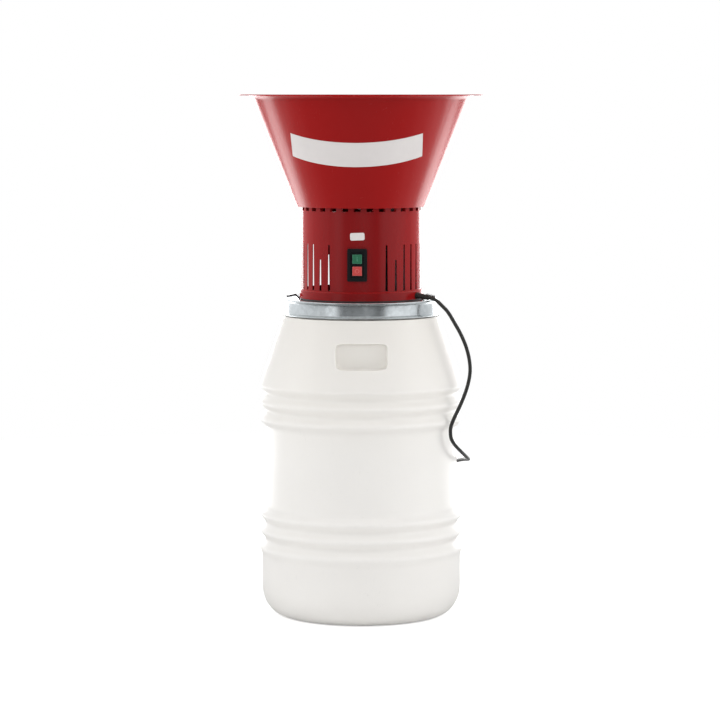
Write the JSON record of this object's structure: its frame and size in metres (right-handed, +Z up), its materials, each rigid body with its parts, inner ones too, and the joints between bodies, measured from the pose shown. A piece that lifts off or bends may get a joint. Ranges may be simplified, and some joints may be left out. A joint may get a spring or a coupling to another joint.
{
  "type": "electric grain mill",
  "caption": "Free-standing electric grain mill: wide conical hopper on a slotted motor housing with a two-button switch, set on a lidded plastic drum that catches the meal.",
  "frame": {"origin": "centre of the drum's base, on the floor it stands on", "axes": "+Z up along the drum's and the mill's common axis, -Y towards the switch, +X to the right of someone facing the switch"},
  "size_m": [0.4639, 0.5394, 0.99],
  "materials": {
    "drum_plastic": "translucent blow-moulded polyethylene, satin",
    "black_rubber": "matt moulded rubber",
    "galvanised_sheet": "spun galvanised sheet, satin",
    "black_steel": "black powder coat",
    "red_housing_paint": "gloss red stove enamel on sheet steel",
    "red_hopper": "glossy moulded red plastic",
    "zinc_fastener": "bright zinc plate",
    "label_film": "printed self-adhesive film, satin",
    "plain_sheet": "plain galvanised sheet",
    "cast_alloy": "die-cast, slightly rough",
    "motor_paint": "dark grey motor paint",
    "lamination_steel": "stacked laminations",
    "copper_winding": "varnished copper wire",
    "bearing_steel": "ground steel",
    "tool_steel": "ground hardened steel",
    "black_plastic": "moulded black plastic, fine grain",
    "green_button": "moulded green plastic",
    "red_button": "moulded red plastic",
    "cream_plastic": "moulded cream plastic",
    "capacitor_can": "drawn aluminium can",
    "cord_sheath": "smooth black cord sheath",
    "spring_wire": "drawn spring wire",
    "plug_pin_metal": "nickel-plated brass"
  },
  "bodies": {
    "drum": {"drum_body": "drum_plastic", "drum_shoulder": "drum_plastic", "drum_neck": "drum_plastic", "mouth_gasket": "black_rubber"},
    "mill": {"drum_cover": "galvanised_sheet", "cover_band": "galvanised_sheet", "base_plate": "black_steel", "base_screws": "zinc_fastener", "housing": "red_housing_paint", "vent_ring": "red_housing_paint", "hopper": "red_hopper", "hopper_screws": "zinc_fastener", "hopper_label": "label_film", "feed_funnel": "plain_sheet", "feed_duct": "plain_sheet", "shutter_pin": "zinc_fastener", "shutter_washer": "zinc_fastener", "motor_frame": "motor_paint", "stator_core": "lamination_steel", "stator_windings": "copper_winding", "lower_end_bell": "cast_alloy", "upper_end_bell": "cast_alloy", "motor_bolts": "zinc_fastener", "bearing_outer_races": "bearing_steel", "shaft_seal": "black_rubber", "fan_cowl": "black_steel", "capacitor": "capacitor_can", "capacitor_clamp": "black_steel", "terminal_block": "cream_plastic", "inner_leads": "cord_sheath", "switch_frame": "black_plastic", "switch_body": "black_plastic", "start_spring": "spring_wire", "stop_spring": "spring_wire", "small_label": "label_film", "sieve": "tool_steel", "chamber_floor": "plain_sheet", "chamber_studs": "zinc_fastener", "wing_nuts": "zinc_fastener", "cord_gland": "black_plastic", "gland_nut": "black_plastic", "cord": "cord_sheath", "cord_coil": "cord_sheath", "coil_tie": "black_plastic", "plug": "cord_sheath", "plug_pins": "plug_pin_metal"},
    "rotor": {"rotor_shaft": "tool_steel", "rotor_core": "lamination_steel", "cooling_fan": "black_plastic", "bearing_inner_races": "bearing_steel", "blade_collar": "tool_steel", "upper_blade": "tool_steel", "lower_blade": "tool_steel", "blade_nut": "zinc_fastener"},
    "shutter": {"feed_shutter": "plain_sheet", "shutter_knob": "black_plastic"},
    "start": {"start_button": "green_button"},
    "stop": {"stop_button": "red_button"}
  },
  "joints": [
    {"name": "mill_lift", "type": "slide", "parent": "drum", "child": "mill", "axis": [0, 0, 1], "range_m": [0, 0.2]},
    {"name": "rotor_spin", "type": "hinge", "parent": "mill", "child": "rotor", "pos_m": [0, 0, 0.65], "axis": [0, 0, 1], "continuous": true},
    {"name": "shutter_turn", "type": "hinge", "parent": "mill", "child": "shutter", "pos_m": [0, 0, 0.777], "axis": [0, 0, 1], "range_deg": [0, 50]},
    {"name": "start_press", "type": "slide", "parent": "mill", "child": "start", "axis": [0, 1, 0], "range_m": [0, 0.003], "stiffness_N_per_m": 700, "springref_m": -0.002, "deforming": ["start_spring"]},
    {"name": "stop_press", "type": "slide", "parent": "mill", "child": "stop", "axis": [0, 1, 0], "range_m": [0, 0.003], "stiffness_N_per_m": 700, "springref_m": -0.002, "deforming": ["stop_spring"]}
  ]
}
